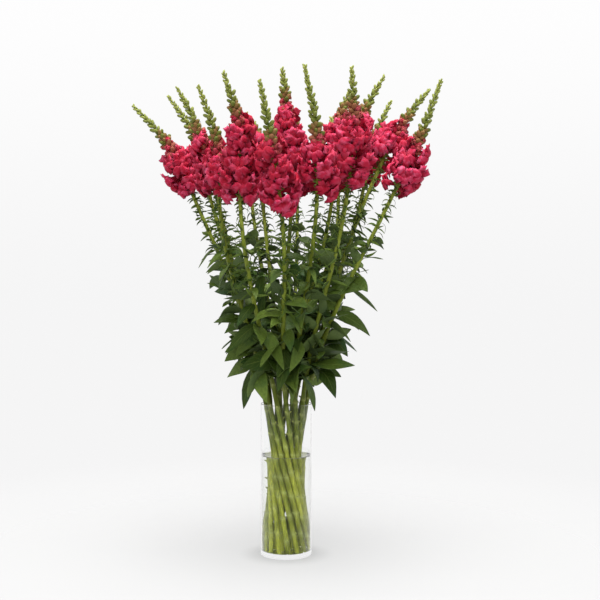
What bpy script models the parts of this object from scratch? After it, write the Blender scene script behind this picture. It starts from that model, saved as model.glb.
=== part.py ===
"""Cut snapdragons in a clear glass cylinder vase. Metres, +Z up, origin at the middle of the vase's underside.

Eighteen stems stand in the water as a twisted bundle, so that none crosses another: each is a straight
line of one hyperboloid. Above the rim they fan out. Each stem carries leaves, then small bracts, then a
head of magenta florets, and ends in a spike of green buds.
"""

import math
import random

import bmesh
import bpy
from mathutils import Matrix, Vector
from mathutils.bvhtree import BVHTree

# Vase and water
VASE_RADIUS = 0.040
VASE_HEIGHT = 0.238
WALL = 0.0026
FLOOR = 0.007
FLOOR_CORNER = 0.0015
LIP = 0.0008
VASE_SIDES = 24
WATER_LEVEL = 0.156
GAP = 0.0003

# The twisted bundle: a wide ring of stems round a narrow one, closest together at the waist
WAIST_HEIGHT = 0.118
OUTER_RING = 0.0183
INNER_RING = 0.0080
TWIST = 12.2
OUTER_START = math.radians(224)
INNER_START = math.radians(190)

# The stalk, as corner radii of its six sides
STALK_RADIUS = 0.0038
HEAD_FOOT_RADIUS = 0.0030
HEAD_TOP_RADIUS = 0.0023
TIP_RADIUS = 0.0008
STRAIGHTEN = 0.060

# Each stem's middle line in mm: at its lowest floret, at its highest open floret, and at its tip.
# Both rings are listed clockwise as seen from above.
OUTER_HEADS = (
    ((-148, 19, 566), (-177, 21, 630), (-242, 24, 707)),
    ((-130, 93, 583), (-143, 105, 646), (-199, 120, 738)),
    ((-62, 158, 583), (-67, 178, 666), (-73, 204, 722)),
    ((17, 186, 577), (15, 210, 679), (11, 240, 733)),
    ((87, 158, 583), (82, 178, 642), (76, 204, 715)),
    ((130, 130, 590), (143, 147, 654), (178, 168, 738)),
    ((148, 28, 610), (175, 32, 665), (228, 36, 735)),
    ((164, -65, 565), (191, -74, 621), (231, -84, 728)),
    ((93, -93, 571), (100, -105, 660), (97, -120, 740)),
    ((46, -158, 552), (47, -178, 612), (28, -204, 727)),
    ((-4, -177, 525), (-14, -200, 601), (-33, -228, 702)),
    ((-64, -140, 540), (-64, -158, 644), (-85, -180, 722)),
    ((-98, -93, 557), (-97, -105, 612), (-126, -120, 713)),
    ((-107, -42, 565), (-122, -47, 632), (-164, -54, 722)),
)
INNER_HEADS = (
    ((-40, 74, 569), (-47, 84, 647), (-55, 96, 694)),
    ((104, 79, 594), (118, 89, 684), (161, 102, 768)),
    ((74, 0, 574), (81, 0, 668), (99, 0, 726)),
    ((8, -28, 577), (2, -32, 683), (-5, -36, 755)),
)

GOLDEN_ANGLE = math.radians(137.5)

# Leaves: a zone is in places up the stem, and rise and droop are for the lowest leaf and the highest.
# Droop is how far the tip sags, as a share of the length. Rise is in degrees, roll in radians.
LEAF_COUNT = 10
LEAF_ZONE = (0.060, 0.274)
LEAF_JITTER = 0.006
LEAF_LENGTHS = (0.046, 0.064)
LEAF_TOP_LENGTH = 0.65
LEAF_WIDTH = 0.42
LEAF_THICKNESS = 0.0016
LEAF_STATIONS = ((0.35, 1.0), (0.7, 0.72))
LEAF_ROOT = -0.035
LEAF_RISE = (25, 45)
LEAF_RISE_SPREAD = 15
LEAF_DROOP = (1.05, 0.70)
LEAF_DROOP_SPREAD = 0.25
LEAF_ROLLS = (0.2, 1.0)
LEAF_MARGIN = 0.0005
LEAF_BARE = 0.0055
LEAF_SHRINKS = (1.0, 0.85, 0.7)
LEAF_TURNS = (0, 60, -60, 120, -120, 180)
LEAF_LIFTS = (0, -20, 25)

# Bracts under the head, and the green buds above it
BRACT_COUNT = 4
BRACT_LENGTH = 0.014
BRACT_WIDTH = 0.0028
BRACT_LIFT = 0.15
BRACT_SPACING = 0.016
BRACT_TOP = 0.012
BUD_RISE = 0.0072
BUD_SIZE = 0.0058
BUD_TAPER = 0.65
BUD_LIFT = 0.4

# The head: florets in millimetres times a size, on a sleeve round the stalk that ends in closed buds
FLORET_RISE = 0.0090
FLORET_SIZE = (1.0, 0.78)
FLORET_REACH = 0.033
FLORET_CLEARANCE = 0.001
SLEEVE_WALL = 0.0015
SLEEVE_FOOT = 0.006
SLEEVE_TOP = 0.022
SLEEVE_BUD_ROWS = 2
SLEEVE_BUD_GROWTH = 0.001
ROOM_STEPS = 40
ROOM_BELOW = 0.05


def clear_scene():
    for obj in list(bpy.data.objects):
        bpy.data.objects.remove(obj)


def material(name, colour, roughness, alpha=1.0):
    mat = bpy.data.materials.new(name)
    mat.use_nodes = True
    shader = mat.node_tree.nodes["Principled BSDF"]
    shader.inputs["Base Color"].default_value = (*colour, 1.0)
    shader.inputs["Roughness"].default_value = roughness
    shader.inputs["Metallic"].default_value = 0.0
    shader.inputs["Alpha"].default_value = alpha
    return mat


def lerp(pair, t):
    return pair[0] + t * (pair[1] - pair[0])


class Axis:
    """The middle line of a stem: straight through the vase, then a smooth curve out to its tip.

    Places on it are distances from the rim's level, measured along the chords between the knots, and are
    negative inside the vase.
    """

    def __init__(self, waist, head):
        self.radial = Vector((waist.x, waist.y, 0)).normalized()
        self.lean = Vector((TWIST * waist.y, -TWIST * waist.x, 1.0))
        self.knots = [waist + (VASE_HEIGHT - WAIST_HEIGHT) * self.lean]
        self.knots += [Vector(point) / 1000 for point in head]
        chords = [b - a for a, b in zip(self.knots, self.knots[1:])]
        self.marks = [0.0]
        for chord in chords:
            self.marks.append(self.marks[-1] + chord.length)
        slopes = [self.lean.normalized()]
        for before, after in zip(chords, chords[1:]):
            weight = before.length / (before.length + after.length)
            slopes.append(before.normalized().lerp(after.normalized(), weight))
        end_bend = 0.5 * (chords[-1].normalized() - slopes[-1])
        slopes.append(chords[-1].normalized() + end_bend)
        self.slopes = slopes
        self.foot, self.top, self.tip = self.marks[1:]
        self.sleeve = (
            self.foot - SLEEVE_FOOT,
            (self.foot + self.top) / 2,
            self.top + SLEEVE_TOP,
        )
        self.stations = [self.at_height(FLOOR + GAP), 0.0]
        self.stations += [self.foot * i / 3 for i in range(1, 3)]
        self.stations += self.sleeve
        rows = round((self.tip - self.sleeve[2]) / BUD_RISE)
        rise = (self.tip - self.sleeve[2]) / rows
        self.spike = [self.sleeve[2] + rise * i for i in range(1, rows + 1)]
        self.stations += self.spike

    def point(self, place):
        """A point on the straight runs between the stations, where the stalk's sections are."""
        span = 0
        while span < len(self.stations) - 2 and place > self.stations[span + 1]:
            span += 1
        start, end = self.stations[span : span + 2]
        return self.curve(start).lerp(self.curve(end), (place - start) / (end - start))

    def curve(self, place):
        if place <= 0:
            return self.knots[0] + place * self.slopes[0]
        span = 0
        while span < 2 and place > self.marks[span + 1]:
            span += 1
        length = self.marks[span + 1] - self.marks[span]
        t = (place - self.marks[span]) / length
        start, end = self.knots[span], self.knots[span + 1]
        leave, arrive = length * self.slopes[span], length * self.slopes[span + 1]
        return (
            (2 * t**3 - 3 * t**2 + 1) * start
            + (t**3 - 2 * t**2 + t) * leave
            + (3 * t**2 - 2 * t**3) * end
            + (t**3 - t**2) * arrive
        )

    def direction(self, place):
        step = 0.0005
        return (self.curve(place + step) - self.curve(place - step)).normalized()

    def at_height(self, height):
        """The place inside the vase at a height."""
        return (height - VASE_HEIGHT) / self.slopes[0].z

    def radius(self, place):
        marks = (0.0, self.foot, self.top, self.tip)
        radii = (STALK_RADIUS, HEAD_FOOT_RADIUS, HEAD_TOP_RADIUS, TIP_RADIUS)
        for i in range(3):
            if place <= marks[i + 1]:
                t = max(0.0, (place - marks[i]) / (marks[i + 1] - marks[i]))
                return lerp(radii[i : i + 2], t)
        return TIP_RADIUS

    def frame(self, place):
        """Outward, sideways and upward directions of a cross-section, which is level inside the vase."""
        level = min(max(place / STRAIGHTEN, 0.0), 1.0)
        up = Vector((0, 0, 1)).lerp(self.direction(place), level).normalized()
        out = self.radial - self.radial.dot(up) * up
        out.normalize()
        return out, up.cross(out), up

    def heading(self, place, angle):
        """Directions at an angle round the stalk: away from it, sideways and up along it."""
        out, across, up = self.frame(place)
        away = math.cos(angle) * out + math.sin(angle) * across
        return away, up.cross(away), up

    def hexagon(self, place, radius, row=0, bud=0.0):
        """Six corners round the axis. Every other one stands out by a bud, which swaps from row to row."""
        out, across, up = self.frame(place)
        corners = []
        for i in range(6):
            turn = i * math.pi / 3
            raised = bud * ((i + row) % 2)
            way = math.cos(turn) * out + math.sin(turn) * across
            corners.append(self.point(place) + (radius + raised) * way + BUD_LIFT * raised * up)
        return corners


def bundle():
    """The axes of all stems, each ring spaced evenly at the waist."""
    axes = []
    rings = (
        (OUTER_RING, OUTER_START, OUTER_HEADS),
        (INNER_RING, INNER_START, INNER_HEADS),
    )
    for radius, start, heads in rings:
        for i, head in enumerate(heads):
            turn = start - 2 * math.pi * i / len(heads)
            waist = Vector((radius * math.cos(turn), radius * math.sin(turn), WAIST_HEIGHT))
            axes.append(Axis(waist, head))
    return axes


def new_object(name, bm, mat):
    mesh = bpy.data.meshes.new(name)
    bm.to_mesh(mesh)
    bm.free()
    mesh.materials.append(mat)
    mesh.shade_smooth()
    mesh.set_sharp_from_angle(angle=math.radians(40))
    obj = bpy.data.objects.new(name, mesh)
    bpy.context.scene.collection.objects.link(obj)
    return obj


def add_shape(bm, points, faces):
    verts = [bm.verts.new(point) for point in points]
    for face in faces:
        bm.faces.new([verts[i] for i in face])


def tube(sections, closed_ends=True):
    """Points and faces of a skin over equal-sided cross-sections, from the foot up."""
    sides = len(sections[0])
    points = [point for section in sections for point in section]
    faces = []
    for level in range(len(sections) - 1):
        for i in range(sides):
            j = (i + 1) % sides
            low, high = level * sides, (level + 1) * sides
            faces.append((low + i, low + j, high + j, high + i))
    if closed_ends:
        faces.append(tuple(reversed(range(sides))))
        last = (len(sections) - 1) * sides
        faces.append(tuple(range(last, last + sides)))
    return points, faces


def boolean(obj, shapes, operation):
    """Joins the shapes to an object, or cuts them from it, with one applied modifier."""
    group = bpy.data.collections.new(obj.name + "_repeats")
    bpy.context.scene.collection.children.link(group)
    for points, faces in shapes:
        bm = bmesh.new()
        add_shape(bm, points, faces)
        bmesh.ops.recalc_face_normals(bm, faces=bm.faces)
        mesh = bpy.data.meshes.new(group.name)
        bm.to_mesh(mesh)
        bm.free()
        group.objects.link(bpy.data.objects.new(group.name, mesh))
    modifier = obj.modifiers.new("repeats", "BOOLEAN")
    modifier.operation = operation
    modifier.operand_type = "COLLECTION"
    modifier.collection = group
    graph = bpy.context.evaluated_depsgraph_get()
    mesh = bpy.data.meshes.new_from_object(obj.evaluated_get(graph))
    obj.modifiers.clear()
    obj.data = mesh
    keep_body(mesh)
    for helper in list(group.objects):
        bpy.data.objects.remove(helper)
    bpy.data.collections.remove(group)


def keep_body(mesh):
    """Keeps a fused mesh's largest skin: this fills the hollows that fusing sealed, and drops scraps."""
    bm = bmesh.new()
    bm.from_mesh(mesh)
    unseen = set(bm.verts)
    skins = []
    while unseen:
        found = [unseen.pop()]
        for vert in found:
            near = {edge.other_vert(vert) for edge in vert.link_edges} & unseen
            unseen -= near
            found += near
        skins.append(found)
    skins.sort(key=len)
    for skin in skins[:-1]:
        bmesh.ops.delete(bm, geom=skin, context="VERTS")
    bm.to_mesh(mesh)
    bm.free()


def turned(name, profile, mat):
    """A solid turned round +Z from (radius, height) points that start and end on the axis."""
    bm = bmesh.new()
    verts = [bm.verts.new((radius, 0, height)) for radius, height in profile]
    edges = [bm.edges.new(pair) for pair in zip(verts, verts[1:])]
    bmesh.ops.spin(
        bm,
        geom=verts + edges,
        cent=(0, 0, 0),
        axis=(0, 0, 1),
        angle=2 * math.pi,
        steps=VASE_SIDES,
        use_merge=True,
    )
    bmesh.ops.remove_doubles(bm, verts=bm.verts, dist=1e-6)
    bmesh.ops.dissolve_limit(bm, angle_limit=0.001, verts=bm.verts, edges=bm.edges)
    bmesh.ops.recalc_face_normals(bm, faces=bm.faces)
    return new_object(name, bm, mat)


def vase(mat):
    inner = VASE_RADIUS - WALL
    profile = (
        (0, 0),
        (VASE_RADIUS - LIP, 0),
        (VASE_RADIUS, LIP),
        (VASE_RADIUS, VASE_HEIGHT - LIP),
        (VASE_RADIUS - LIP, VASE_HEIGHT),
        (inner + LIP, VASE_HEIGHT),
        (inner, VASE_HEIGHT - LIP),
        (inner, FLOOR + FLOOR_CORNER),
        (inner - FLOOR_CORNER, FLOOR),
        (0, FLOOR),
    )
    return turned("vase", profile, mat)


def water(axes, mat):
    """A cylinder that fills the vase to its level, with a plain slanted hole for each stalk."""
    radius = VASE_RADIUS - WALL - GAP
    bottom = FLOOR + GAP
    profile = (
        (0, bottom),
        (radius - FLOOR_CORNER, bottom),
        (radius, bottom + FLOOR_CORNER),
        (radius, WATER_LEVEL),
        (0, WATER_LEVEL),
    )
    body = turned("water", profile, mat)
    holes = []
    for axis in axes:
        ends = (axis.at_height(FLOOR - 0.001), axis.at_height(WATER_LEVEL + 0.001))
        holes.append(tube([axis.hexagon(end, STALK_RADIUS + GAP) for end in ends]))
    boolean(body, holes, "DIFFERENCE")
    return body


def stalk(axis):
    """The stalk from its cut end to the top of its head, then the spike with its rows of buds."""
    sections = []
    for place in axis.stations:
        if place in axis.spike[:-1]:
            row = axis.spike.index(place)
            size = BUD_SIZE * (1 - BUD_TAPER * row / len(axis.spike))
            sections.append(axis.hexagon(place, axis.radius(place), row, size))
        else:
            sections.append(axis.hexagon(place, axis.radius(place)))
    return tube(sections)


def sleeve(axis):
    """The core of a head: a thin tube round the stalk, which the florets stand out of.

    Above the open florets it carries rows of closed buds.
    """
    inside = [axis.hexagon(place, axis.radius(place) + GAP) for place in axis.sleeve]
    bud_rows = [axis.sleeve[2] - BUD_RISE * (i + 0.5) for i in range(SLEEVE_BUD_ROWS)]
    outside = []
    for place in (*axis.sleeve[:2], *reversed(bud_rows), axis.sleeve[2]):
        wide = axis.radius(place) + GAP + SLEEVE_WALL
        if place in bud_rows:
            row = bud_rows.index(place)
            outside.append(axis.hexagon(place, wide, row, BUD_SIZE + SLEEVE_BUD_GROWTH * row))
        else:
            outside.append(axis.hexagon(place, wide))
    outer_points, outer_faces = tube(outside, closed_ends=False)
    inner_points, inner_faces = tube(inside, closed_ends=False)
    shift = len(outer_points)
    faces = outer_faces + [tuple(shift + i for i in reversed(face)) for face in inner_faces]
    last = shift - 6
    inner_last = shift + len(inner_points) - 6
    for i in range(6):
        j = (i + 1) % 6
        faces.append((j, i, shift + i, shift + j))
        faces.append((last + i, last + j, inner_last + j, inner_last + i))
    return outer_points + inner_points, faces


def room(axes, own, place):
    """The distance from a place on one stem to the nearest other stem above the vase."""
    here = own.point(place)
    gaps = []
    for other in axes:
        if other is own:
            continue
        start = other.foot - ROOM_BELOW
        for i in range(ROOM_STEPS + 1):
            there = other.point(start + (other.tip - start) * i / ROOM_STEPS)
            gaps.append((here - there).length)
    return min(gaps)


def floret(axis, place, angle, size):
    """A two-lipped floret: a narrow tube, two lobes above, three below, and the bulge of its closed mouth."""
    away, side, up = axis.heading(place, angle)
    root = axis.point(place) + (axis.radius(place) + GAP + SLEEVE_WALL / 5) * away
    # The root inside the sleeve's wall, then the tube
    points = [(0, 1.2, 1.2), (0, -1.2, 1.2), (0, 0, -1.2)]
    points += [(6, 4.2, 8.2), (6, -4.2, 8.2), (6, 0, -0.2)]
    # The upper lip's two lobes and the notch between them, a side, the lower lip, a side, the bulge
    points += [(18, 8.5, 23), (19, 0, 17), (18, -8.5, 23), (20, -15, 9)]
    points += [(24, -10.5, -4), (25, 0, -8), (24, 10.5, -4), (20, 15, 9), (28, 0, 6)]
    placed = []
    for out, across, rise in points:
        placed.append(root + size / 1000 * (out * away + across * side + rise * up))
    faces = [(0, 1, 2), (0, 3, 4, 1), (1, 4, 5, 2), (2, 5, 3, 0)]
    faces += [(3, 6, 7), (3, 7, 4), (4, 7, 8), (4, 8, 9), (4, 9, 10), (4, 10, 5)]
    faces += [(5, 10, 11), (5, 11, 12), (5, 12, 3), (3, 12, 13), (3, 13, 6)]
    faces += [(14, 6 + (i + 1) % 8, 6 + i) for i in range(8)]
    return placed, faces


def flat_angle(number, start=0.0):
    """The flat of the six-sided stalk nearest to the golden angle's next turn."""
    flat = math.pi / 3
    return flat * (math.floor((start + number * GOLDEN_ANGLE) / flat) + 0.5)


def head_florets(axes, axis):
    """Florets up a head by the golden angle, smaller toward its top and where another stem is near."""
    shapes = []
    count = round((axis.top - axis.foot) / FLORET_RISE) + 1
    for i in range(count):
        t = i / (count - 1)
        place = axis.foot + t * (axis.top - axis.foot)
        size = lerp(FLORET_SIZE, t)
        limit = (room(axes, axis, place) / 2 - FLORET_CLEARANCE) / FLORET_REACH
        shapes.append(floret(axis, place, i * GOLDEN_ANGLE, min(size, limit)))
    return shapes


def bract(axis, place, angle):
    """A small three-sided leaf under the head."""
    away, side, up = axis.heading(place, angle)
    root = axis.point(place) + 0.3 * axis.radius(place) * away
    half = BRACT_WIDTH / 2
    points = [root + half * side, root - half * side, root - half * up]
    points.append(root + BRACT_LENGTH * (away + BRACT_LIFT * up))
    return points, [(0, 1, 2), (0, 3, 1), (1, 3, 2), (2, 3, 0)]


def leaf(axis, place, angle, rise, droop, roll, length, bare=0.0, margin=0.0):
    """A pointed blade with a keel for its rib, which arches over as it grows out.

    Each station is a share of its length and of its width. Its root is a point just past the stalk's
    middle. To test a leaf's clearance, a bare length at its root is left off, and a margin makes it
    fatter.
    """
    level = axis.heading(place, angle)[0]
    level = Vector((level.x, level.y, 0)).normalized()
    upright = Vector((0, 0, 1))
    side = upright.cross(level)
    leave = math.cos(rise) * level + math.sin(rise) * upright

    def middle(s):
        return axis.point(place) + length * (s * leave - droop * s * s * upright)

    points = []
    for s, share in LEAF_STATIONS:
        ahead = (leave - 2 * droop * s * upright).normalized()
        across = Matrix.Rotation(roll, 3, ahead) @ side
        keel = (LEAF_THICKNESS + margin) * across.cross(ahead)
        half = share * LEAF_WIDTH * length / 2 + margin
        points += [middle(s) + half * across, middle(s) - half * across, middle(s) + keel]
    points.append(middle(1.0))
    root = middle(LEAF_ROOT)
    if bare:
        free = (bare / length - LEAF_ROOT) / (LEAF_STATIONS[0][0] - LEAF_ROOT)
        points += [root.lerp(point, free) for point in points[:3]]
        faces = [(7, 8, 9)]
        for i in range(3):
            j = (i + 1) % 3
            faces += [(7 + i, i, j), (7 + i, j, 7 + j)]
    else:
        points.append(root)
        faces = [(7, 0, 1), (7, 1, 2), (7, 2, 0)]
    faces += [(0, 3, 4), (0, 4, 1), (0, 5, 3), (0, 2, 5), (1, 4, 5), (1, 5, 2)]
    faces += [(6, 4, 3), (6, 5, 4), (6, 3, 5)]
    return points, faces


class Clearance:
    """Every shape placed so far, to keep the leaves from crossing any of them."""

    def __init__(self):
        self.points = []
        self.faces = []

    def add(self, shape):
        shift = len(self.points)
        self.points += shape[0]
        self.faces += [tuple(shift + i for i in face) for face in shape[1]]
        self.tree = BVHTree.FromPolygons(self.points, self.faces)

    def crosses(self, shape):
        return bool(self.tree.overlap(BVHTree.FromPolygons(*shape)))


def stem_leaves(axis, clearance, draw):
    """Leaves up one stem by the golden angle, the highest ones shorter."""
    shapes = []
    spin = draw.uniform(0, 2 * math.pi)
    for i in range(LEAF_COUNT):
        t = i / (LEAF_COUNT - 1)
        place = lerp(LEAF_ZONE, t) + draw.uniform(-LEAF_JITTER, LEAF_JITTER)
        shorter = lerp((1.0, LEAF_TOP_LENGTH), max(0.0, (t - 0.7) / 0.3))
        length = draw.uniform(*LEAF_LENGTHS) * shorter
        rise = lerp(LEAF_RISE, t) + draw.uniform(-LEAF_RISE_SPREAD, LEAF_RISE_SPREAD)
        droop = lerp(LEAF_DROOP, t) + draw.uniform(-LEAF_DROOP_SPREAD, LEAF_DROOP_SPREAD)
        roll = draw.choice((-1, 1)) * draw.uniform(*LEAF_ROLLS)
        shape = clear_leaf(axis, place, flat_angle(i, spin), rise, droop, roll, length, clearance)
        if shape:
            shapes.append(shape)
    return shapes


def clear_leaf(axis, place, angle, rise, droop, roll, length, clearance):
    """A leaf that touches nothing placed so far: it is shortened, turned or lowered until it is clear."""
    for shrink in LEAF_SHRINKS:
        for turn in LEAF_TURNS:
            for lift in LEAF_LIFTS:
                around = angle + math.radians(turn)
                tilt = math.radians(rise + lift)
                way = (axis, place, around, tilt, droop, roll, shrink * length)
                if not clearance.crosses(leaf(*way, bare=LEAF_BARE, margin=LEAF_MARGIN)):
                    shape = leaf(*way)
                    clearance.add(shape)
                    return shape
    return None


def build():
    clear_scene()
    glass = material("clear glass", (0.93, 0.96, 0.95), 0.03, alpha=0.3)
    liquid = material("water", (0.86, 0.92, 0.88), 0.02, alpha=0.4)
    green = material("stem and leaf green", (0.10, 0.22, 0.05), 0.55)
    magenta = material("magenta petals", (0.62, 0.02, 0.10), 0.6)
    axes = bundle()
    vase(glass)
    water(axes, liquid)
    clearance = Clearance()
    stems = []
    for number, axis in enumerate(axes, 1):
        bm = bmesh.new()
        core = sleeve(axis)
        add_shape(bm, *core)
        bmesh.ops.recalc_face_normals(bm, faces=bm.faces)
        blooms = new_object(f"blooms_{number:02d}", bm, magenta)
        florets = head_florets(axes, axis)
        boolean(blooms, florets, "UNION")
        bare = stalk(axis)
        bracts = []
        for i in range(BRACT_COUNT):
            place = axis.sleeve[0] - BRACT_TOP - BRACT_SPACING * i
            bracts.append(bract(axis, place, flat_angle(i)))
        stems.append((axis, bare, bracts))
        for shape in [core, bare, *florets, *bracts]:
            clearance.add(shape)
    draw = random.Random(11)
    for number, (axis, bare, bracts) in enumerate(stems, 1):
        bm = bmesh.new()
        add_shape(bm, *bare)
        bmesh.ops.recalc_face_normals(bm, faces=bm.faces)
        stem = new_object(f"stem_{number:02d}", bm, green)
        boolean(stem, bracts + stem_leaves(axis, clearance, draw), "UNION")


build()
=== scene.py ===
"""Cut snapdragons in a clear glass cylinder vase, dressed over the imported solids. Metres, +Z up."""

import math
import random

import bmesh
import bpy
from mathutils import Matrix, Vector


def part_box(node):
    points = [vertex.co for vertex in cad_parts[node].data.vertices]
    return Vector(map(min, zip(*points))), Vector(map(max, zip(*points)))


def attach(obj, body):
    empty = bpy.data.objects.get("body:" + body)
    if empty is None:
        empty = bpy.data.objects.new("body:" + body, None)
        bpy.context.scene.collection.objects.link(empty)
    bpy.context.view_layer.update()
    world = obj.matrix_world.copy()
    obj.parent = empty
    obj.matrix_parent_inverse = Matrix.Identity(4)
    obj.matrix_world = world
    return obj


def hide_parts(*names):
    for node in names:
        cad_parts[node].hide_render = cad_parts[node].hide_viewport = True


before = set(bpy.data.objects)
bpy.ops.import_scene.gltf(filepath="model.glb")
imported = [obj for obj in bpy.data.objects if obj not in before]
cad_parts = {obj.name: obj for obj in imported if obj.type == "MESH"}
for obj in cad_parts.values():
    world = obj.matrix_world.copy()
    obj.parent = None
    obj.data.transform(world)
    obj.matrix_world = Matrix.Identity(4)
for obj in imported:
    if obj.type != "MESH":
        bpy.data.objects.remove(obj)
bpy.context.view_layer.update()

# The viewpoint. The photograph was taken level with the middle of the bouquet, from straight in
# front and well back, so that the vase's rim shows almost edge on.

looking_down = 1.34
eye = bpy.data.objects.new("eye", bpy.data.cameras.new("eye"))
eye.data.lens = 65
eye.location = (0.0218, -1.7, 0.44)
eye.rotation_euler = (math.radians(90 - looking_down), 0, 0)
bpy.context.scene.collection.objects.link(eye)
bpy.context.scene.camera = eye

# The studio. A pale tabletop that fades into a white surround, one big soft lamp overhead and a
# weaker one from the front, as round a product on a white sweep.


class Amount:
    """A number on its way through a finish's nodes, so that a sum is written as a sum."""

    def __init__(self, finish, socket):
        self.finish = finish
        self.socket = socket

    def step(self, operation, first, second):
        settings = {"operation": operation}
        return self.finish.node("ShaderNodeMath", settings, {0: first, 1: second})

    def __add__(self, other):
        return self.step("ADD", self, other)

    __radd__ = __add__

    def __sub__(self, other):
        return self.step("SUBTRACT", self, other)

    def __rsub__(self, other):
        return self.step("SUBTRACT", other, self)

    def __mul__(self, other):
        return self.step("MULTIPLY", self, other)

    __rmul__ = __mul__

    def __pow__(self, other):
        return self.step("POWER", self, other)


class Wiring:
    """The nodes of a finish, or of the light all round, as they are joined up."""

    def __init__(self, tree):
        self.tree = tree

    def set(self, node, sockets):
        for name, value in sockets.items():
            if isinstance(value, Amount):
                self.tree.links.new(value.socket, node.inputs[name])
            else:
                node.inputs[name].default_value = value

    def node(self, kind, settings, sockets, result=0):
        node = self.tree.nodes.new(kind)
        for name, value in settings.items():
            setattr(node, name, value)
        self.set(node, sockets)
        return Amount(self, node.outputs[result])

    def clamp(self, value, low, high):
        """0 up to the low value, 1 from the high one, and a smooth rise between them."""
        limits = {"Value": value, "From Min": low, "From Max": high}
        return self.node("ShaderNodeMapRange", {"interpolation_type": "SMOOTHSTEP"}, limits)

    def along(self, vector, axis):
        return self.node("ShaderNodeSeparateXYZ", {}, {0: vector}, axis)

    def ray(self, question):
        return self.node("ShaderNodeLightPath", {}, {}, question)


class Finish(Wiring):
    """A material in the making. What is the same all over goes on the shader's own sockets."""

    def __init__(self, name, plain):
        self.mat = bpy.data.materials.new(name)
        self.mat.use_nodes = True
        super().__init__(self.mat.node_tree)
        self.shader = self.tree.nodes["Principled BSDF"]
        self.set(self.shader, plain)

    def mix(self, share, low, high):
        colours = {0: share, 6: low, 7: high}
        return self.node("ShaderNodeMix", {"data_type": "RGBA"}, colours, 2)

    def place(self):
        return self.node("ShaderNodeTexCoord", {}, {}, "Object")

    def noise(self, where, scale, detail=2.0):
        sockets = {"Vector": where, "Scale": scale, "Detail": detail}
        return self.node("ShaderNodeTexNoise", {}, sockets)

    def stretched(self, where, along):
        """Places squeezed along the height, which draws a noise out into streaks."""
        return self.node("ShaderNodeMapping", {}, {"Vector": where, "Scale": (1.0, 1.0, along)})

    def attribute(self, name):
        return self.node("ShaderNodeAttribute", {"attribute_name": name}, {}, "Fac")

    def bump(self, strength, distance, height):
        sockets = {"Strength": strength, "Distance": distance, "Height": height}
        return self.node("ShaderNodeBump", {}, sockets)


bpy.context.scene.view_settings.view_transform = "Standard"
surround = bpy.data.worlds.new("white surround")
surround.use_nodes = True
backdrop = surround.node_tree.nodes["Background"]
backdrop.inputs["Color"].default_value = (1.0, 0.998, 1.0, 1)
light = Wiring(surround.node_tree)
heading = light.node("ShaderNodeTexCoord", {}, {}, "Generated")
in_front = 1 - light.clamp(light.along(heading, "Y"), -0.7, 0.2)
mirrored = light.clamp(light.ray("Glossy Depth"), 0.0, 1.0) * in_front
aloft = light.clamp(light.along(heading, "Z"), -0.05, 0.26)
# Mirrored rays find the surround dimmer, which keeps a haze off the glass, and so do bounced ones,
# which leaves the bouquet its own shade
brightness = 0.915 + 0.075 * aloft - 0.55 * mirrored - 0.38 * light.ray("Is Diffuse Ray")
light.set(backdrop, {"Strength": brightness})
bpy.context.scene.world = surround

tabletop = Finish(
    "white tabletop",
    {
        "Base Color": (0.26, 0.26, 0.258, 1),
        "Roughness": 0.9,
        "Specular IOR Level": 0.1,
        "Emission Strength": 0.54,
    },
)
from_middle = tabletop.node(
    "ShaderNodeVectorMath", {"operation": "LENGTH"}, {0: tabletop.place()}, "Value"
)
# The tabletop glows by itself, and its glow is dimmed to grey within a few centimetres of the middle,
# a painted contact shadow round the vase's foot
clear_of_painted_shadow = tabletop.clamp(from_middle, 0.030, 0.080)
glow_with_painted_shadow = tabletop.mix(clear_of_painted_shadow, (0.70, 0.70, 0.70, 1), (1.0, 1.0, 1.0, 1))
fade = 1 - tabletop.clamp(from_middle, 0.06, 1.0)
bounced = tabletop.clamp(tabletop.ray("Glossy Depth"), 0.0, 1.0)
tabletop.set(tabletop.shader, {"Emission Color": glow_with_painted_shadow, "Alpha": fade * (1 - bounced)})
base_glow = Finish(
    "self-lit base fill",
    {
        "Base Color": (0, 0, 0, 1),
        "Specular IOR Level": 0.0,
        "Emission Color": (1, 1, 1, 1),
        "Emission Strength": 0.85,
    },
)
# A disc that glows by itself, painted light, is set into the underside of the vase, whose heavy base
# would show black without it
for name, finish, radius, height in (
    ("tabletop", tabletop, 1.2, 0.0),
    ("base_glow", base_glow, 0.0335, 0.0014),
):
    bm = bmesh.new()
    raised = Matrix.Translation((0, 0, height))
    bmesh.ops.create_circle(bm, cap_ends=True, segments=64, radius=radius, matrix=raised)
    sheet = bpy.data.objects.new(name, bpy.data.meshes.new(name))
    bm.to_mesh(sheet.data)
    bm.free()
    sheet.data.materials.append(finish.mat)
    bpy.context.scene.collection.objects.link(sheet)

aimed_at = Vector((0, 0, 0.45))
for name, place, width, power in (
    ("key lamp", (0.0, -0.25, 2.4), 1.3, 58),
    ("fill lamp", (-0.15, -2.4, 1.5), 1.3, 18),
):
    lamp = bpy.data.objects.new(name, bpy.data.lights.new(name, "AREA"))
    lamp.data.size = width
    lamp.data.energy = power
    lamp.location = place
    lamp.rotation_euler = (aimed_at - lamp.location).to_track_quat("-Z", "Y").to_euler()
    bpy.context.scene.collection.objects.link(lamp)

# The vase. One clear glass cylinder, straight-sided, with a heavy flat base and a fire-polished
# rim. It is plain all over, and the stems and the water show through it.


def arc(middle, height, radius, start, end, steps=6):
    turns = [math.radians(start + (end - start) * i / steps) for i in range(steps + 1)]
    return [(middle + radius * math.cos(a), height + radius * math.sin(a)) for a in turns]


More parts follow.
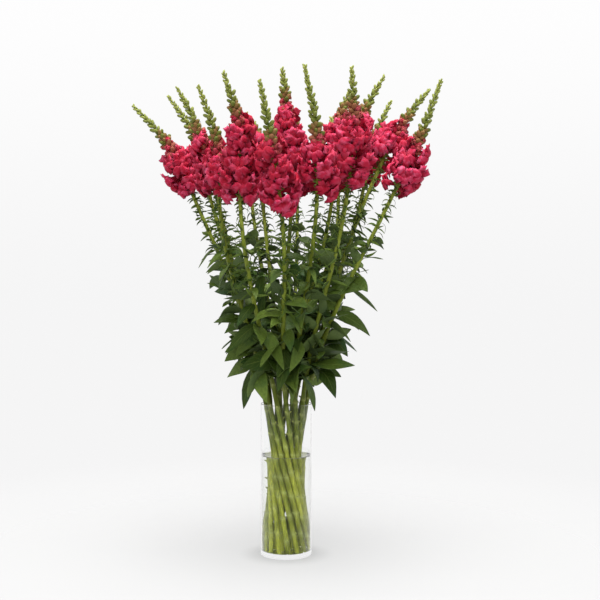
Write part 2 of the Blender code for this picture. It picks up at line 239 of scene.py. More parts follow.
def turned(bm, profile):
    """Turns (radius, height) points that start and end on the axis into a closed round body."""
    points = [bm.verts.new((radius, 0, height)) for radius, height in profile]
    edges = [bm.edges.new(pair) for pair in zip(points, points[1:])]
    full = {"axis": (0, 0, 1), "angle": 2 * math.pi, "steps": 96, "use_merge": True}
    bmesh.ops.spin(bm, geom=points + edges, cent=(0, 0, 0), **full)
    bmesh.ops.remove_doubles(bm, verts=bm.verts, dist=1e-6)
    bmesh.ops.recalc_face_normals(bm, faces=bm.faces)


def finished(name, bm, finishes, stands_for, smooth=35):
    """Makes a piece of the object from its shape, and takes the place of its solid."""
    mesh = bpy.data.meshes.new(name)
    bm.to_mesh(mesh)
    bm.free()
    for finish in finishes:
        mesh.materials.append(finish.mat)
    mesh.shade_smooth()
    mesh.set_sharp_from_angle(angle=math.radians(smooth))
    piece = bpy.data.objects.new(name, mesh)
    bpy.context.scene.collection.objects.link(piece)
    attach(piece, "root")
    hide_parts(stands_for)
    return piece


def lets_lamps_through(finish, tint):
    """Lamps reach what is inside, which bent light would take far more light paths for."""
    lamp_ray = finish.ray("Is Shadow Ray")
    clear = finish.node("ShaderNodeBsdfTransparent", {}, {"Color": tint})
    body = Amount(finish, finish.shader.outputs[0])
    both = finish.node("ShaderNodeMixShader", {}, {0: lamp_ray, 1: body, 2: clear})
    finish.set(finish.tree.nodes["Material Output"], {"Surface": both})


rim_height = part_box("vase")[1].z
outer, inner, base = 0.040, 0.0384, 0.007
lip = (outer - inner) / 2
heel, corner = 0.0018, 0.0016
below_lip = rim_height - lip - 0.0005
vase_profile = [(0, 0.0009), (0.028, 0.0007), (0.0345, 0.0)]
vase_profile += arc(outer - heel, heel, heel, -90, 0)
vase_profile += [(outer, height) for height in (0.0022, 0.08, 0.16, below_lip)]
vase_profile += arc(outer - lip, rim_height - lip, lip, 0, 180, 10)
vase_profile += [(inner, height) for height in (below_lip, 0.16, 0.08, base + 0.0020)]
vase_profile += arc(inner - corner, base + corner, corner, 0, -90)
vase_profile += [(inner - 0.0020, base), (0.02, base - 0.0002), (0, base - 0.0003)]
glass = Finish(
    "clear glass",
    {
        "Base Color": (0.994, 0.998, 0.996, 1),
        "Roughness": 0.0,
        "IOR": 1.32,
        "Specular IOR Level": 0.25,
        "Transmission Weight": 1.0,
    },
)
ripple = glass.noise(glass.place(), 14.0)
glass.set(glass.shader, {"Normal": glass.bump(0.05, 0.001, ripple)})
lets_lamps_through(glass, (0.93, 0.95, 0.94, 1))
bm = bmesh.new()
turned(bm, vase_profile)
finished("glass_vase", bm, [glass], "vase")

# The water. Clear tap water to a little over half the vase. It climbs the glass in a thin bright
# edge, and bends the light so that the stems in it look broader.

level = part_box("water")[1].z
wet = inner - 0.00006
foot_round, climb = 0.0017, 0.0018
water_profile = [(0, base + 0.0001), (wet - 0.0019, base + 0.0002)]
water_profile += arc(wet - foot_round, base + 0.0019, foot_round, -90, 0)[1:]
water_profile += [(wet, base + 0.0024), (wet, level * 0.5)]
water_profile += [(wet, level + 0.0012), (wet, level + 0.0016)]
water_profile += arc(wet - climb, level + 0.0019, climb, -8, -90)[1:]
water_profile += [(wet - 0.0022, level), (0.02, level), (0, level)]
water = Finish(
    "clear water",
    {
        "Base Color": (0.985, 0.995, 0.965, 1),
        "Roughness": 0.0,
        "IOR": 1.333,
        "Specular IOR Level": 0.2,
        "Transmission Weight": 1.0,
    },
)
lets_lamps_through(water, (0.98, 0.99, 0.97, 1))
bm = bmesh.new()
turned(bm, water_profile)
finished("still_water", bm, [water], "water")

# The snapdragon stems. Each is one plant: a juicy green stalk, cut at the foot and stripped of
# leaves below the rim, then soft pointed leaves, thin curled bracts, and a spike of unopened buds
# at the tip. They stand in the water as a twisted bundle of straight stalks, and lean on the rim.

golden = math.radians(137.5)
# Where the bundle is narrowest, and how much more a stalk slants for each metre from its middle
waist_height, twist = 0.118, 12.2
# At the rim, at the lowest floret, at the highest open one and at the tip
stalk_radii = (0.0038, 0.0030, 0.0023, 0.0008)
# Above the rim, what grows on a stalk turns to its direction within this distance
straighten = 0.060
off_floor = 0.0003
stalk_sides = 7
node_half = 0.0022
blade_thickness = 0.0007
small_leaf_count = 24
bract_count = 78
floret_spacing = 0.0033
any_turn = (0, 6.28)
# Each stem in mm: at its lowest floret, at its highest open floret, and at its tip
outer_heads = (
    ((-148, 19, 566), (-177, 21, 630), (-242, 24, 707)),
    ((-130, 93, 583), (-143, 105, 646), (-199, 120, 738)),
    ((-62, 158, 583), (-67, 178, 666), (-73, 204, 722)),
    ((17, 186, 577), (15, 210, 679), (11, 240, 733)),
    ((87, 158, 583), (82, 178, 642), (76, 204, 715)),
    ((130, 130, 590), (143, 147, 654), (178, 168, 738)),
    ((148, 28, 610), (175, 32, 665), (228, 36, 735)),
    ((164, -65, 565), (191, -74, 621), (231, -84, 728)),
    ((93, -93, 571), (100, -105, 660), (97, -120, 740)),
    ((46, -158, 552), (47, -178, 612), (28, -204, 727)),
    ((-4, -177, 525), (-14, -200, 601), (-33, -228, 702)),
    ((-64, -140, 540), (-64, -158, 644), (-85, -180, 722)),
    ((-98, -93, 557), (-97, -105, 612), (-126, -120, 713)),
    ((-107, -42, 565), (-122, -47, 632), (-164, -54, 722)),
)
inner_heads = (
    ((-40, 74, 569), (-47, 84, 647), (-55, 96, 694)),
    ((104, 79, 594), (118, 89, 684), (161, 102, 768)),
    ((74, 0, 574), (81, 0, 668), (99, 0, 726)),
    ((8, -28, 577), (2, -32, 683), (-5, -36, 755)),
)


def between(pair, t):
    return pair[0] + t * (pair[1] - pair[0])


class StemLine:
    """The middle line of one stem, with the places on it measured up from the rim's level."""

    def __init__(self, number, waist, head):
        self.number = number
        self.radial = Vector((waist.x, waist.y, 0)).normalized()
        lean = Vector((twist * waist.y, -twist * waist.x, 1.0))
        self.knots = [waist + (rim_height - waist_height) * lean]
        self.knots += [Vector(point) / 1000 for point in head]
        chords = [b - a for a, b in zip(self.knots, self.knots[1:])]
        self.marks = [0.0]
        for chord in chords:
            self.marks.append(self.marks[-1] + chord.length)
        self.slopes = [lean.normalized()]
        for before, after in zip(chords, chords[1:]):
            weight = before.length / (before.length + after.length)
            self.slopes.append(before.normalized().lerp(after.normalized(), weight))
        end = chords[-1].normalized()
        self.slopes.append(end + 0.5 * (end - self.slopes[-1]))
        self.foot, self.top, self.tip = self.marks[1:]
        self.cut = (base + off_floor - rim_height) / self.slopes[0].z

    def at(self, place):
        if place <= 0:
            return self.knots[0] + place * self.slopes[0]
        span = 0
        while span < 2 and place > self.marks[span + 1]:
            span += 1
        length = self.marks[span + 1] - self.marks[span]
        t = (place - self.marks[span]) / length
        leave, arrive = length * self.slopes[span], length * self.slopes[span + 1]
        return (
            (2 * t**3 - 3 * t**2 + 1) * self.knots[span]
            + (t**3 - 2 * t**2 + t) * leave
            + (3 * t**2 - 2 * t**3) * self.knots[span + 1]
            + (t**3 - t**2) * arrive
        )

    def radius(self, place):
        marks = (0.0, self.foot, self.top, self.tip)
        for i in range(3):
            if place <= marks[i + 1]:
                t = max(0.0, (place - marks[i]) / (marks[i + 1] - marks[i]))
                return between(stalk_radii[i : i + 2], t)
        return stalk_radii[-1]

    def frame(self, place, angle=0.0, out=0.0):
        """Axes at an angle round the stalk: X away from it, Z up along it."""
        ahead = (self.at(place + 0.0005) - self.at(place - 0.0005)).normalized()
        leaning = min(max(place / straighten, 0.0), 1.0)
        up = Vector((0, 0, 1)).lerp(ahead, leaning).normalized()
        first = (self.radial - self.radial.dot(up) * up).normalized()
        away = math.cos(angle) * first + math.sin(angle) * up.cross(first)
        turn = Matrix((away, up.cross(away), up)).transposed().to_4x4()
        return Matrix.Translation(self.at(place) + out * away) @ turn


stem_lines = []
for radius, start, heads in ((0.0183, 224, outer_heads), (0.0080, 190, inner_heads)):
    for i, head in enumerate(heads):
        turn = math.radians(start - 360 * i / len(heads))
        waist = Vector((radius * math.cos(turn), radius * math.sin(turn), waist_height))
        stem_lines.append(StemLine(len(stem_lines) + 1, waist, head))


def verts_of(geometry):
    return [item for item in geometry if isinstance(item, bmesh.types.BMVert)]


def joined(ring):
    """The edges that join the points of a ring."""
    chosen = set(ring)
    every = {edge for vert in ring for edge in vert.link_edges}
    return [edge for edge in every if chosen.issuperset(edge.verts)]


def extruded(bm, ring, move):
    """Extrudes a ring of points to its next place, and gives the new ring."""
    fresh = verts_of(bmesh.ops.extrude_edge_only(bm, edges=joined(ring))["geom"])
    bmesh.ops.transform(bm, matrix=move, verts=fresh)
    return fresh


def capped(bm, ring):
    bmesh.ops.holes_fill(bm, edges=joined(ring), sides=len(ring))


def stalk(bm, line, nodes, marks, stripes):
    """The stalk as one skin, a little thicker where a leaf grew, each side with its own tone."""
    places = [line.cut, line.cut + 0.0012]
    while places[-1] < line.tip - 0.004:
        places.append(places[-1] + (0.010 if places[-1] < line.top else 0.007))
    places += [p + shift for p in nodes for shift in (-node_half, 0.0, node_half)]
    places.sort()
    kept = [places[0]]
    for place in places[1:]:
        if place - kept[-1] > node_half / 2:
            kept.append(place)

    def swell(place):
        return min(sum(math.exp(-(((place - p) / node_half) ** 2)) for p in nodes), 1.0)

    def section(place):
        size = line.radius(place) * (1.06 + 0.16 * swell(place))
        if place < line.cut + 0.0006:
            size *= 0.86
        return line.frame(place) @ Matrix.Scale(size, 4)

    before = section(kept[0])
    sides = len(stripes)
    ring = bmesh.ops.create_circle(bm, segments=sides, radius=1.04, matrix=before)["verts"]
    capped(bm, ring)
    for place in kept[1:]:
        after = section(place)
        ring = extruded(bm, ring, after @ before.inverted())
        for vert in ring:
            spot = after.inverted() @ vert.co
            turn = math.atan2(spot.y, spot.x) / (2 * math.pi)
            vert[marks[0]] = swell(place)
            vert[marks[1]] = stripes[round(turn * sides) % sides]
        before = after
    capped(bm, ring)


def copied(bm, blank, moved, marks, values):
    """Copies a blank, moves its points, and marks the copy with plain numbers for its finish."""
    fresh = verts_of(bmesh.ops.duplicate(bm, geom=blank)["geom"])
    for vert in fresh:
        vert.co = moved(vert.co)
        for mark, value in zip(marks, values):
            vert[mark] = value
    return fresh


def whole(bm, verts):
    """Everything that belongs to these points."""
    edges = {edge for vert in verts for edge in vert.link_edges}
    faces = {face for vert in verts for face in vert.link_faces}
    return list(verts) + list(edges) + list(faces)


def put_away(bm, blank):
    """Deletes a blank once its copies are made."""
    bmesh.ops.delete(bm, geom=verts_of(blank), context="VERTS")


def numbered(blank, number):
    for face in blank:
        if isinstance(face, bmesh.types.BMFace):
            face.material_index = number
    return blank


def blade_blank(bm, across, along, number):
    """A flat blade, -1 to 1 across, 0 to 1 along, 1 thick, with its own map across and along it."""
    before = set(bm.verts)
    bmesh.ops.create_grid(bm, x_segments=across, y_segments=along, size=1.0)
    sheet = [vert for vert in bm.verts if vert not in before]
    for vert in sheet:
        vert.co.y = (vert.co.y + 1) / 2
    bmesh.ops.solidify(bm, geom=whole(bm, sheet), thickness=1.0)
    verts = [vert for vert in bm.verts if vert not in before]
    blade_map = bm.loops.layers.uv.verify()
    middle = sum(vert.co.z for vert in verts) / len(verts)
    for vert in verts:
        vert.co.z -= middle
    for loop in (loop for vert in verts for loop in vert.link_loops):
        loop[blade_map].uv = (loop.vert.co.x / 2 + 0.5, loop.vert.co.y)
    return numbered(whole(bm, verts), number)


def leaf_width(along):
    """How wide a leaf is, from its root at 0 to its tip at 1."""
    belly = max(math.sin(math.pi * min(along, 1.0) ** 0.78), 0.0)
    return belly**0.75 + 0.08 * (1 - along) ** 2


def solid_leaves(line):
    """The leaves of a stem's solid, each as the curve and the width of its blade.

    A leaf's tip joins three points, at 0.7 of its length, and those join three at 0.35. The two
    furthest apart are its edges and the third is its keel.
    """
    bm = bmesh.new()
    bm.from_mesh(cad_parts[f"stem_{line.number:02d}"].data)
    bmesh.ops.remove_doubles(bm, verts=bm.verts, dist=1e-5)
    leaves = []
    for tip in bm.verts:
        if len(tip.link_edges) != 3:
            continue
        near = [edge.other_vert(tip) for edge in tip.link_edges]
        far = {edge.other_vert(v) for v in near for edge in v.link_edges} - {tip, *near}
        if len(far) != 3:
            continue
        rows = []
        for row in (list(far), near):
            pairs = [(row[i], row[(i + 1) % 3], row[(i + 2) % 3]) for i in range(3)]
            rows.append(max(pairs, key=lambda pair: (pair[0].co - pair[1].co).length))
        wide = [(row[0].co - row[1].co).length for row in rows]
        if not 0.69 < wide[1] / wide[0] < 0.75:
            continue
        first, second = [(row[0].co + row[1].co) / 2 for row in rows]
        # The one bow through those two places and the tip, followed back to its root
        root = 3.0769 * first - 3.3333 * second + 1.2564 * tip.co
        sag = ((tip.co - root) - (first - root) / 0.35) / (1 - 0.35)
        leave = tip.co - root - sag
        across = (rows[0][0].co - rows[0][1].co).normalized()
        if across.cross(leave).dot(rows[0][2].co - first) < 0:
            across = -across
        leaves.append((root.copy(), leave, sag, across, wide[0] / 2))
    bm.free()
    return leaves


def leaf_bend(root, leave, sag, across, half, waves, turn, twisted, swing):
    """How a flat leaf blade bends over and aside as it grows out, with a trough down its rib and
    waved edges. Its blunt tip stops a little short of the curve's end."""
    blunt, fuller = 0.88, 1.10

    def bend(point):
        s = point.y * blunt
        ahead = (leave + 2 * s * sag).normalized()
        level_side = (across - across.dot(ahead) * ahead).normalized()
        side = Matrix.Rotation(twisted * s * s, 3, ahead) @ level_side
        up = ahead.cross(side)
        width = half * leaf_width(point.y) * fuller
        edge = abs(point.x)
        wave = 0.16 * math.sin(waves * math.pi * s + turn + 1.2 * point.x)
        wave *= edge**2 * math.sin(math.pi * s)
        cup = 0.26 * edge - 0.12 * edge**2 - 0.09
        centre = root + s * leave + s * s * sag + swing * leave.length * s * s * side
        lift = half * (wave + cup * leaf_width(point.y)) + blade_thickness * point.z
        return centre + width * point.x * side + lift * up

    return bend


def curled(place, length, half, curl, rise):
    """How a bract or a sepal curls from its place on the stalk."""

    def bend(point):
        s = point.y
        turn = rise + curl * s
        reach = length * s
        x = reach * math.cos(rise + curl * s / 2)
        z = reach * math.sin(rise + curl * s / 2)
        width = half * (0.35 + 0.65 * math.sin(math.pi * s**0.7)) * (1 - 0.85 * s**3)
        lift = blade_thickness * point.z + 0.3 * half * point.x**2
        x -= lift * math.sin(turn)
        z += lift * math.cos(turn)
        return place @ Vector((x, width * point.x, z))

    return bend


def bud_blank(bm, number, sides, rows):
    """An egg, 1 long out from its root, narrowing to its tip."""
    shape = Matrix.Translation((0.5, 0, 0)) @ Matrix.Diagonal((0.55, 0.46, 0.46, 1))
    shape = shape @ Matrix.Rotation(math.pi / 2, 4, "Y")
    size = {"u_segments": sides, "v_segments": rows, "radius": 1.0}
    verts = bmesh.ops.create_uvsphere(bm, matrix=shape, **size)["verts"]
    for vert in verts:
        fullness = 1.16 - 0.42 * max(vert.co.x, 0.0) ** 1.6
        vert.co.y *= fullness
        vert.co.z *= fullness
    return numbered(whole(bm, verts), number)


stalk_skin = Finish("snapdragon stalk", {"Roughness": 0.45, "Specular IOR Level": 0.25})
where = stalk_skin.place()
height = stalk_skin.along(where, "Z")
streaks = stalk_skin.noise(stalk_skin.stretched(where, 0.06), 700.0, 3.0)
patches = stalk_skin.noise(stalk_skin.stretched(where, 0.25), 60.0)
# Painted light and shade by height: the stalk and its streaks are brighter in the water, darker from
# just above it to a little over the rim, as in the leaves' shade, and lighter again higher up
grown = stalk_skin.clamp(height, 0.135, 0.20)
shaded_above_water = stalk_skin.mix(grown, (0.185, 0.220, 0.003, 1), (0.055, 0.080, 0.002, 1))
lined = stalk_skin.mix(grown, (0.64, 0.67, 0.085, 1), (0.20, 0.25, 0.026, 1))
out_of_painted_shade = stalk_skin.clamp(height, 0.27, 0.42)
sunny = stalk_skin.mix(out_of_painted_shade, shaded_above_water, (0.205, 0.265, 0.018, 1))
ridged = stalk_skin.mix(out_of_painted_shade, lined, (0.40, 0.47, 0.075, 1))
stripe = stalk_skin.attribute("side")
# The stalk's pale streaks and lighter sides are partly its own streaking and partly painted
# highlights
lit = 0.55 * stripe + 0.45 * stalk_skin.clamp(streaks, 0.45, 0.64)
shaded = stalk_skin.mix(lit, sunny, ridged)
patchy = 0.6 * stalk_skin.clamp(patches, 0.42, 0.66)
mottled = stalk_skin.mix(patchy, shaded, (0.090, 0.118, 0.003, 1))
on_node = (0.5 - 0.2 * grown) * stalk_skin.attribute("tone")
ringed = stalk_skin.mix(on_node, mottled, (0.56, 0.60, 0.22, 1))
grain = stalk_skin.bump(0.35, 0.0004, streaks)
stalk_skin.set(stalk_skin.shader, {"Base Color": ringed, "Normal": grain})

leaf_skin = Finish("snapdragon leaf", {"Specular IOR Level": 0.15})
leaf_place = leaf_skin.node("ShaderNodeUVMap", {"uv_map": "blade"}, {})
leaf_along = leaf_skin.along(leaf_place, "Y")
from_rib = leaf_skin.node(
    "ShaderNodeMath", {"operation": "ABSOLUTE"}, {0: leaf_skin.along(leaf_place, "X") - 0.5}
)
rib = 1 - leaf_skin.clamp(from_rib, 0.010, 0.045)
vein_count = 7.0
rows = leaf_skin.node(
    "ShaderNodeMath", {"operation": "FRACT"}, {0: (leaf_along - 0.55 * from_rib) * vein_count}
)
near_vein = leaf_skin.node("ShaderNodeMath", {"operation": "ABSOLUTE"}, {0: rows - 0.5})
veins = (1 - leaf_skin.clamp(near_vein, 0.02, 0.13)) * 0.55
ribs = leaf_skin.node("ShaderNodeMath", {"operation": "MAXIMUM"}, {0: rib, 1: veins})
leaf_tone = leaf_skin.attribute("tone")
leaf_under = leaf_skin.attribute("side")
cells = leaf_skin.noise(leaf_skin.place(), 260.0, 3.0)
leaf_green = leaf_skin.mix(leaf_tone, (0.012, 0.036, 0.001, 1), (0.175, 0.260, 0.042, 1))
leaf_grain = 0.35 * leaf_skin.clamp(cells, 0.35, 0.7)
leaf_cells = leaf_skin.mix(leaf_grain, leaf_green, (0.036, 0.062, 0.007, 1))
leaf_patches = leaf_skin.noise(leaf_skin.place(), 26.0)
leaf_patchy = 0.5 * leaf_skin.clamp(leaf_patches, 0.50, 0.68)
leaf_cool = leaf_skin.mix(leaf_patchy, leaf_cells, (0.022, 0.075, 0.022, 1))
leaf_veined = leaf_skin.mix(0.45 * ribs, leaf_cool, (0.13, 0.18, 0.035, 1))
leaf_sides = leaf_skin.mix(0.45 * leaf_under, leaf_veined, (0.120, 0.165, 0.075, 1))
leaf_relief = leaf_skin.bump(0.5, 0.0006, cells * 0.35 - ribs)
leaf_skin.set(
    leaf_skin.shader,
    {"Base Color": leaf_sides, "Normal": leaf_relief, "Roughness": 0.42 + 0.18 * cells},
)

bud_skin = Finish("green buds", {"Roughness": 0.5, "Specular IOR Level": 0.2})
bud_cells = bud_skin.noise(bud_skin.place(), 420.0)
bud_tone = bud_skin.attribute("tone")
bud_green = bud_skin.mix(bud_tone, (0.080, 0.108, 0.008, 1), (0.48, 0.53, 0.135, 1))
bud_grain = 0.45 * bud_skin.clamp(bud_cells, 0.4, 0.7)
bud_spots = bud_skin.mix(bud_grain, bud_green, (0.15, 0.17, 0.028, 1))
bud_relief = bud_skin.bump(0.3, 0.0004, bud_cells)
bud_skin.set(bud_skin.shader, {"Base Color": bud_spots, "Normal": bud_relief})


def room(own, place):
    """The distance from a place on one stem to the nearest other stem above the vase."""
    here = own.at(place)
    steps = 40
    gaps = []
    for other in stem_lines:
        if other is not own:
            start = other.foot - 0.05
            reach = other.tip - start
            gaps += [(here - other.at(start + reach * i / steps)).length for i in range(steps + 1)]
    return min(gaps)


def floret_spots(line):
    """Where a stem's open florets grow: how far up the head, the place, and the angle."""
    lay = random.Random(line.number)
    count = round((line.top - line.foot) / floret_spacing) + 1
    spots = []
    for i in range(count):
        t = i / (count - 1)
        place = between((line.foot + 0.008, line.top + 0.001), t)
        place += lay.uniform(-0.0015, 0.0015)
        spots.append((t, place, i * golden + lay.uniform(-0.3, 0.3)))
    return spots


def grown_out(root, rise, length, width):
    """A place on a stalk, raised from level and scaled for a bud of this length and width."""
    return root @ Matrix.Rotation(-rise, 4, "Y") @ Matrix.Diagonal((length, width, width, 1))


def placed(bm, blank, root, marks, values):
    return copied(bm, blank, lambda point: root @ point, marks, values)


def drawn_leaf(root, leave, sag, across, half, most_twisted, most_swing):
    """How one leaf bends, with its own waves, twist and swing, and how light it is."""
    waves, turn = draw.uniform(2.5, 4.5), draw.uniform(*any_turn)
    twisted = draw.uniform(-most_twisted, most_twisted)
    swing = draw.uniform(-most_swing, most_swing)
    bend = leaf_bend(root, leave, sag, across, half, waves, turn, twisted, swing)
    return bend, draw.random() ** 1.25


def main_leaves(line):
    """The leaves that a stem's solid has, each bowed a little differently."""
    return [
        drawn_leaf(root, leave, draw.uniform(0.6, 1.15) * sag, across, half, 1.5, 0.3)
        for root, leave, sag, across, half in solid_leaves(line)
    ]


def small_leaves(line):
    """The leaves between the main ones, which get shorter and narrower up the stem."""
    leaves = []
    for i in range(small_leaf_count):
        t = i / (small_leaf_count - 1)
        place = between((0.048, line.foot - 0.080), t**1.1) + draw.uniform(-0.008, 0.008)
        angle = i * golden + 1.0 + draw.uniform(-0.5, 0.5)
        root = line.frame(place, angle, 0.6 * line.radius(place))
        away, across, up = [root.col[j].to_3d() for j in range(3)]
        length = between((0.060, 0.033), t**1.2) * draw.uniform(0.7, 1.2)
        rise = draw.uniform(-0.2, 1.2)
        leave = length * (math.cos(rise) * away + math.sin(rise) * up)
        spread = ((-0.3, 0.3), (-0.3, 0.3), (-0.95, 0.15))
        sag = length * Vector([draw.uniform(*limits) for limits in spread])
        half = between((0.25, 0.15), t) * length * draw.uniform(0.7, 1.15)
        roll = Matrix.Rotation(draw.uniform(-1.4, 1.4), 3, leave.normalized()) @ across
        leaves.append(drawn_leaf(root.translation, leave, sag, roll, half, 1.4, 0.4))
    return leaves


def leaves_on(bm, line, marks):
    large, small = blade_blank(bm, 4, 6, 1), blade_blank(bm, 2, 4, 1)
    grown = [(large, *leaf) for leaf in main_leaves(line)]
    grown += [(small, *leaf) for leaf in small_leaves(line)]
    for blank, bend, tone in grown:
        for vert in copied(bm, blank, lambda point: point.copy(), marks, (tone, 0.0)):
            vert[marks[1]] = float(vert.co.z < 0)
            vert.co = bend(vert.co)
    put_away(bm, large)
    put_away(bm, small)


def spike_spots(line):
    """Where a stem's unopened buds grow: how far up the spike, the place, and the angle."""
    start = line.top + 0.022
    spike = line.tip - start
    buds = [0.0]
    while buds[-1] < spike - 0.002:
        buds.append(buds[-1] + between((0.0028, 0.0017), buds[-1] / spike))
    return [(along / spike, start + along, i * golden) for i, along in enumerate(buds)]


def bracts_on(bm, line, marks):
    """The curled bracts below the flowers, and a small one by every other bud of the spike."""
    bract = blade_blank(bm, 1, 3, 1)
    for i in range(bract_count):
        t = (i / (bract_count - 1)) ** 1.6
        place = line.foot + 0.004 - 0.160 * t + draw.uniform(-0.002, 0.002)
        angle = i * golden + draw.uniform(-0.3, 0.3)
        root = line.frame(place, angle, 0.7 * line.radius(place))
        root = root @ Matrix.Rotation(draw.uniform(-1.4, 1.4), 4, "X")
        length = between((0.0090, 0.030), t) * draw.uniform(0.75, 1.25)
        half = between((0.0019, 0.0032), t) * draw.uniform(0.8, 1.2)
        curl = draw.choice((-1, -1, 1)) * draw.uniform(1.2, 3.8)
        bend = curled(root, length, half, curl, draw.uniform(0.0, 1.1))
        copied(bm, bract, bend, marks, (draw.uniform(0.2, 0.9), 0.0))
    for t, place, angle in spike_spots(line)[::2]:
        root = line.frame(place - 0.002, angle, 0.6 * line.radius(place))
        length, half = between((0.011, 0.003), t), between((0.0020, 0.0008), t)
        bend = curled(root, length, half, 0.9, between((-0.1, 0.5), t))
        copied(bm, bract, bend, marks, (0.75, 0.0))
    put_away(bm, bract)


def buds_on(bm, line, marks, scars):
    """The spike's buds, a green cup behind each floret, and the stubs of stripped leaves."""
    bud = bud_blank(bm, 2, 5, 3)
    for t, place, angle in spike_spots(line):
        size = between((0.0137, 0.0056), t) * draw.uniform(0.85, 1.15)
        rise = between((0.55, 1.2), t) + draw.uniform(-0.15, 0.15)
        root = line.frame(place, angle, 0.3 * line.radius(line.top))
        root = grown_out(root, rise, size, 0.84 * size)
        tone = between((0.15, 0.95), t) * draw.uniform(0.6, 1.1)
        placed(bm, bud, root, marks, (tone, 0.0))
    upright = grown_out(line.frame(line.tip - 0.003), 1.57, 0.006, 0.0042)
    placed(bm, bud, upright, marks, (0.7, 0.0))
    for t, place, angle in floret_spots(line):
        size = between((0.010, 0.008), t)
        root = grown_out(line.frame(place, angle), 0.3, size, 0.9 * size)
        placed(bm, bud, root, marks, (0.25, 0.0))
    for place in scars:
        side = draw.uniform(*any_turn)
        for turn in (side, side + draw.uniform(2.6, 3.6)):
            root = line.frame(place, turn, 0.62 * line.radius(place))
            length = draw.uniform(0.0040, 0.0066)
            root = grown_out(root, draw.uniform(0.3, 1.0), length, 0.0042)
            placed(bm, bud, root, marks, (draw.uniform(0.6, 1.0), 0.0))
    put_away(bm, bud)


draw = random.Random(21)
for line in stem_lines:
    bm = bmesh.new()
    bm.loops.layers.uv.new("blade")
    marks = [bm.verts.layers.float.new(name) for name in ("tone", "side")]
    scars = [line.cut + 0.018 + draw.uniform(0, 0.014)]
    while scars[-1] < 0.02:
        scars.append(scars[-1] + draw.uniform(0.024, 0.040))
    shade = draw.uniform(0.0, 0.5)
    stalk(bm, line, scars, marks, [shade + draw.uniform(0.0, 0.5) for _ in range(stalk_sides)])
    leaves_on(bm, line, marks)
    bracts_on(bm, line, marks)
    buds_on(bm, line, marks, scars)
    bmesh.ops.recalc_face_normals(bm, faces=bm.faces)
    skins = [stalk_skin, leaf_skin, bud_skin]
    number = f"{line.number:02d}"
    piece = finished(f"growth_{number}", bm, skins, f"stem_{number}", 180)
    rounding = piece.modifiers.new("rounding", "SUBSURF")
    rounding.levels = rounding.render_levels = 1

# The flower heads. Open florets stand round the top of each stalk, each a tube with two ruffled
# lobes above, three below and a swollen closed mouth, thin and velvety. Above them sit closed buds
# that are just colouring. They grow on the stem, and are a piece of their own for their colour.

petals, petal_steps = 5, 8
floret_forms, half_open, closed = 6, 6, 30
# A lobe's size, lean and push outwards, then the height, number and start of its ruffles
lobe_limits = ((0.85, 1.15), (-0.14, 0.14), (-2.4, 2.4), (1.5, 3.0), (8.0, 13.0), any_turn)


def floret_blank(bm):
    """A floret in mm, X out from the stalk: one ring pushed out along the tube, over its lobes'
    edge, and back into the mouth, which a swelling of the lower lip closes. Every eighth point is a
    notch."""
    sides = petals * petal_steps
    outward = Matrix.Rotation(math.pi / 2, 4, "Y")
    ring = bmesh.ops.create_circle(bm, segments=sides, radius=1.0, matrix=outward)["verts"]
    every = list(ring)
    capped(bm, ring)
    for _ in range(6):
        ring = extruded(bm, ring, Matrix.Translation((1, 0, 0)))
        every += ring
    capped(bm, ring)
    rim = bm.verts.layers.float["rim"]
    lobes = [[draw.uniform(*limits) for limits in lobe_limits] for _ in range(petals)]
    for vert in every:
        number = round(vert.co.x)
        turn = math.atan2(vert.co.y, vert.co.z)
        side = round(turn / (2 * math.pi) * sides) % sides
        size, lean, push, wave, ruffles, phase = lobes[side // petal_steps]
        along = side % petal_steps / petal_steps
        above = math.cos(turn) > 0.25
        if above:
            out = (0.0, 16.0, 22.0, 22.5, 25.0, 19.0, 25.0)[number]
            radius = (1.5, 5.0, 6.4, 6.8, 6.0, 3.2, 1.4)[number]
            reach = (0.0, 0.0, 5.0, 9.6, 4.6, 0.0, 0.0)[number]
        else:
            out = (0.0, 17.0, 21.5, 17.5, 24.5, 27.5, 28.5)[number]
            radius = (1.5, 5.2, 6.8, 7.2, 6.8, 6.2, 3.2)[number]
            reach = (0.0, 0.0, 4.2, 8.2, 4.2, 0.8, 0.0)[number]
        if along and 2 <= number <= 5:
            fullness = math.sin(math.pi * along) ** 0.45
            radius += reach * size * fullness
            if number != 5:
                share = 1.0 if number == 3 else 0.5
                ruffle = wave * math.sin(ruffles * along + phase) * fullness
                turn += 0.26 * (along - 0.5) * fullness + lean
                out += share * (push + ruffle)
                swelling = math.sin(1.7 * ruffles * along + 2.0 * phase)
                radius += share * 0.7 * wave * swelling
        drop = 2.0 if number == 6 else 0.0
        vert[rim] = (0.0, 0.2, 0.6, 1.0, 0.6, 0.0 if above else 0.6, 0.5)[number]
        lift = 0.18 * out - drop
        vert.co = Vector((out, radius * math.sin(turn), radius * math.cos(turn) + lift))
    return whole(bm, every)


petal_skin = Finish("magenta petals", {"Roughness": 0.62, "Specular IOR Level": 0.15})
petal_rim = petal_skin.attribute("rim")
petal_ripe = petal_skin.attribute("ripe")
petal_cells = petal_skin.noise(petal_skin.place(), 150.0, 3.0)
petal_tone = petal_skin.attribute("tone")
petal_edge = petal_skin.mix(petal_tone, (0.44, 0.007, 0.030, 1), (0.66, 0.026, 0.100, 1))
# Painted shade: the petals are darker towards the tube and deep in the mouth, where the rim mark is
# low
petal_depth = petal_skin.mix(petal_rim**1.3, (0.44, 0.010, 0.034, 1), petal_edge)
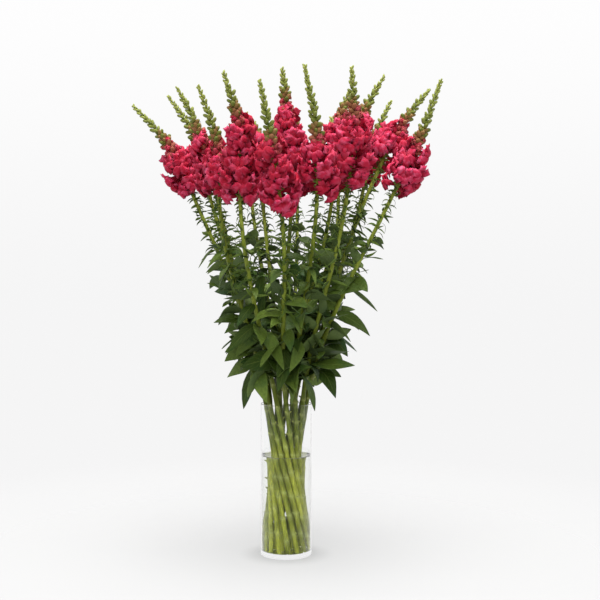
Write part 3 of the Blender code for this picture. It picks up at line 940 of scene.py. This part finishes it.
# Painted highlight: pale pink speckles towards the lobes' edges, stronger on some florets than others
petal_painted_highlight = petal_skin.clamp(petal_cells, 0.40, 0.66) * petal_rim
petal_painted_highlight = petal_painted_highlight * (0.2 + 0.55 * petal_tone)
petal_pale = petal_skin.mix(petal_painted_highlight, petal_depth, (0.70, 0.16, 0.29, 1))
petal_opening = petal_skin.clamp(petal_ripe, 0.0, 0.6)
petal_young = petal_skin.mix(petal_opening, (0.26, 0.17, 0.055, 1), (0.43, 0.085, 0.085, 1))
petal_bud = petal_skin.mix(petal_skin.clamp(petal_ripe, 0.45, 0.95), petal_young, petal_pale)
petal_relief = petal_skin.bump(0.6, 0.0012, petal_cells)
petal_skin.set(petal_skin.shader, {"Base Color": petal_bud, "Normal": petal_relief})


def turned_by(root, axis, least, most, more=0.0):
    return root @ Matrix.Rotation(draw.uniform(least, most) + more, 4, axis)


def open_florets_on(bm, line, marks, blanks):
    """The open florets, smaller up the head and where another stem is near. A few are missing."""
    for t, place, angle in floret_spots(line):
        if draw.random() < 0.18 * t * t:
            continue
        size = between((1.07, 0.82), t**1.5) * (1 - 0.15 * (1 - t) ** 6)
        size *= draw.uniform(0.80, 1.16)
        size = min(size, max((room(line, place) / 2 + 0.004) / 0.030, 0.78))
        root = line.frame(place, angle, 0.6 * line.radius(place))
        root = turned_by(root, "Z", -0.45, 0.45)
        root = turned_by(root, "Y", -0.40, 0.45, -0.30 * t)
        root = turned_by(root, "X", -0.5, 0.5) @ Matrix.Scale(size / 1000, 4)
        placed(bm, draw.choice(blanks), root, marks, (draw.random(), 1.0))


def half_open_florets_on(bm, line, marks, blanks):
    """The half-open florets just above the open ones, smaller and paler."""
    for i in range(half_open):
        t = i / (half_open - 1)
        place = line.top + between((0.002, 0.022), t)
        root = line.frame(place, i * golden + 1.9, 0.5 * line.radius(place))
        root = turned_by(root, "Y", -0.7, 0.0)
        root = turned_by(root, "X", -0.5, 0.5)
        root = root @ Matrix.Scale(between((0.54, 0.38), t) / 1000, 4)
        root = root @ Matrix.Diagonal((1.0, 0.72, 0.72, 1))
        blank = draw.choice(blanks)
        values = (draw.random(), draw.uniform(0.50, 0.90))
        placed(bm, blank, root, marks, values)


def closed_buds_on(bm, line, marks):
    """The closed buds above, greener and more upright up the head."""
    bud = bud_blank(bm, 0, 7, 6)
    for i in range(closed):
        t = i / (closed - 1)
        place = between((line.top - 0.008, line.top + 0.038), t)
        size = between((0.0140, 0.0085), t) * draw.uniform(0.80, 1.25)
        rise = between((0.15, 0.75), t) + draw.uniform(-0.3, 0.3)
        root = line.frame(place, i * golden + 0.6, 0.3 * line.radius(place))
        root = grown_out(root, rise, size, 0.76 * size)
        ripe = between((0.95, 0.0), t**0.8) * draw.uniform(0.5, 1.5)
        placed(bm, bud, root, marks, (draw.random(), max(0.0, min(1.0, ripe)), 0.5))
    put_away(bm, bud)


for line in stem_lines:
    bm = bmesh.new()
    marks = [bm.verts.layers.float.new(name) for name in ("tone", "ripe", "rim")]
    blanks = [floret_blank(bm) for _ in range(floret_forms)]
    open_florets_on(bm, line, marks, blanks)
    half_open_florets_on(bm, line, marks, blanks)
    for blank in blanks:
        put_away(bm, blank)
    closed_buds_on(bm, line, marks)
    bmesh.ops.recalc_face_normals(bm, faces=bm.faces)
    number = f"{line.number:02d}"
    finished(f"florets_{number}", bm, [petal_skin], f"blooms_{number}", 180)
